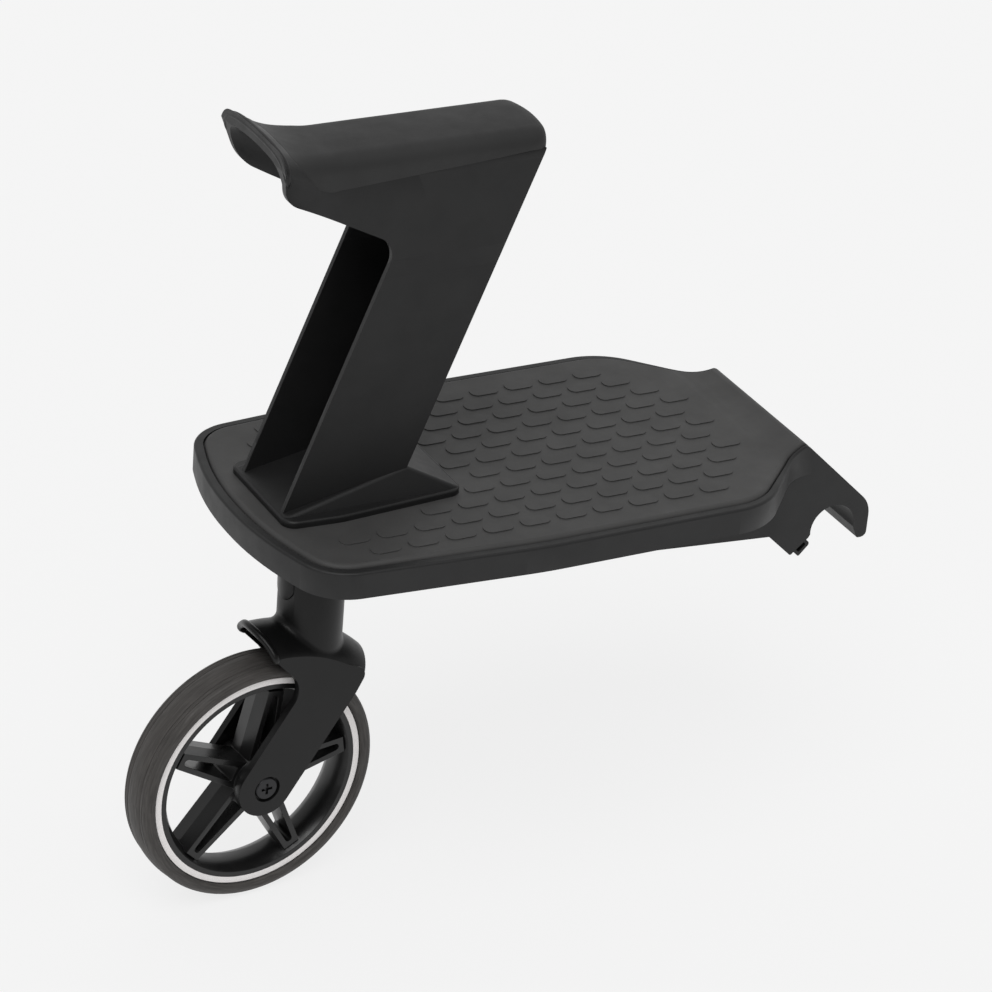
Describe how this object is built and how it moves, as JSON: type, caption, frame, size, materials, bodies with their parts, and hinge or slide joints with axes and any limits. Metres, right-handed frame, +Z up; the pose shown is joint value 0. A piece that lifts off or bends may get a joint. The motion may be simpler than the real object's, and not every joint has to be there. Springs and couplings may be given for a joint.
{
  "type": "buggy board",
  "caption": "Buggy board with a hook for a pushchair's rear axle, a padded standing deck, a fixed child's seat and a swivelling caster wheel.",
  "frame": {"origin": "on the axis of the hook's arch, at the middle of its width: the centre of the axle tube that the hook sits on", "axes": "+X towards the pushchair, +Y to the left across the deck along the axle tube, +Z up from the standing surface"},
  "size_m": [0.4493, 0.2026, 0.4775],
  "materials": {
    "deck_plastic": "fine spark-eroded texture, satin",
    "mat_rubber": "matt soft-grip skin",
    "seat_plastic": "fine spark-eroded texture, satin",
    "saddle_skin": "soft-touch, matt",
    "caster_plastic": "satin",
    "wheel_plastic": "satin",
    "tyre_rubber": "matt",
    "reflective": "retroreflective film",
    "steel": "bright",
    "dark_steel": "black zinc plated",
    "bush_plastic": "natural acetal"
  },
  "bodies": {
    "board": {"deck_shell": "deck_plastic", "deck_mat": "mat_rubber", "latch_stop_screws": "dark_steel", "seat_shell": "seat_plastic", "saddle_cover": "saddle_skin", "seat_screws": "dark_steel", "kingpin": "steel", "kingpin_screws": "dark_steel"},
    "caster": {"caster_fork": "caster_plastic", "stem_bush_upper": "bush_plastic", "stem_bush_lower": "bush_plastic", "axle_barrel": "dark_steel", "axle_screw": "dark_steel", "axle_washer_right": "steel", "axle_washer_left": "steel", "bearing_spacer": "steel", "button_spring": "steel"},
    "release": {"release_button": "caster_plastic", "release_catch": "steel"},
    "wheel": {"wheel_rim": "wheel_plastic", "tyre": "tyre_rubber", "reflector_ring_right": "reflective", "reflector_ring_left": "reflective", "bearing_right": "steel", "bearing_left": "steel"},
    "latch": {"axle_latch": "deck_plastic"}
  },
  "joints": [
    {"name": "caster_swivel", "type": "hinge", "parent": "board", "child": "caster", "pos_m": [-0.3139, 0, 0], "axis": [0, 0, 1], "continuous": true},
    {"name": "wheel_spin", "type": "hinge", "parent": "caster", "child": "wheel", "pos_m": [-0.34856, -0.00318, -0.1203], "axis": [-0.0913, 0.9958, 0], "continuous": true},
    {"name": "release_press", "type": "slide", "parent": "caster", "child": "release", "axis": [0.9958, 0.0913, 0], "range_m": [0, 0.0026], "stiffness_N_per_m": 1500, "springref_m": -0.002},
    {"name": "latch_slide", "type": "slide", "parent": "board", "child": "latch", "axis": [0.7254, 0, -0.6884], "range_m": [0, 0.014]}
  ]
}
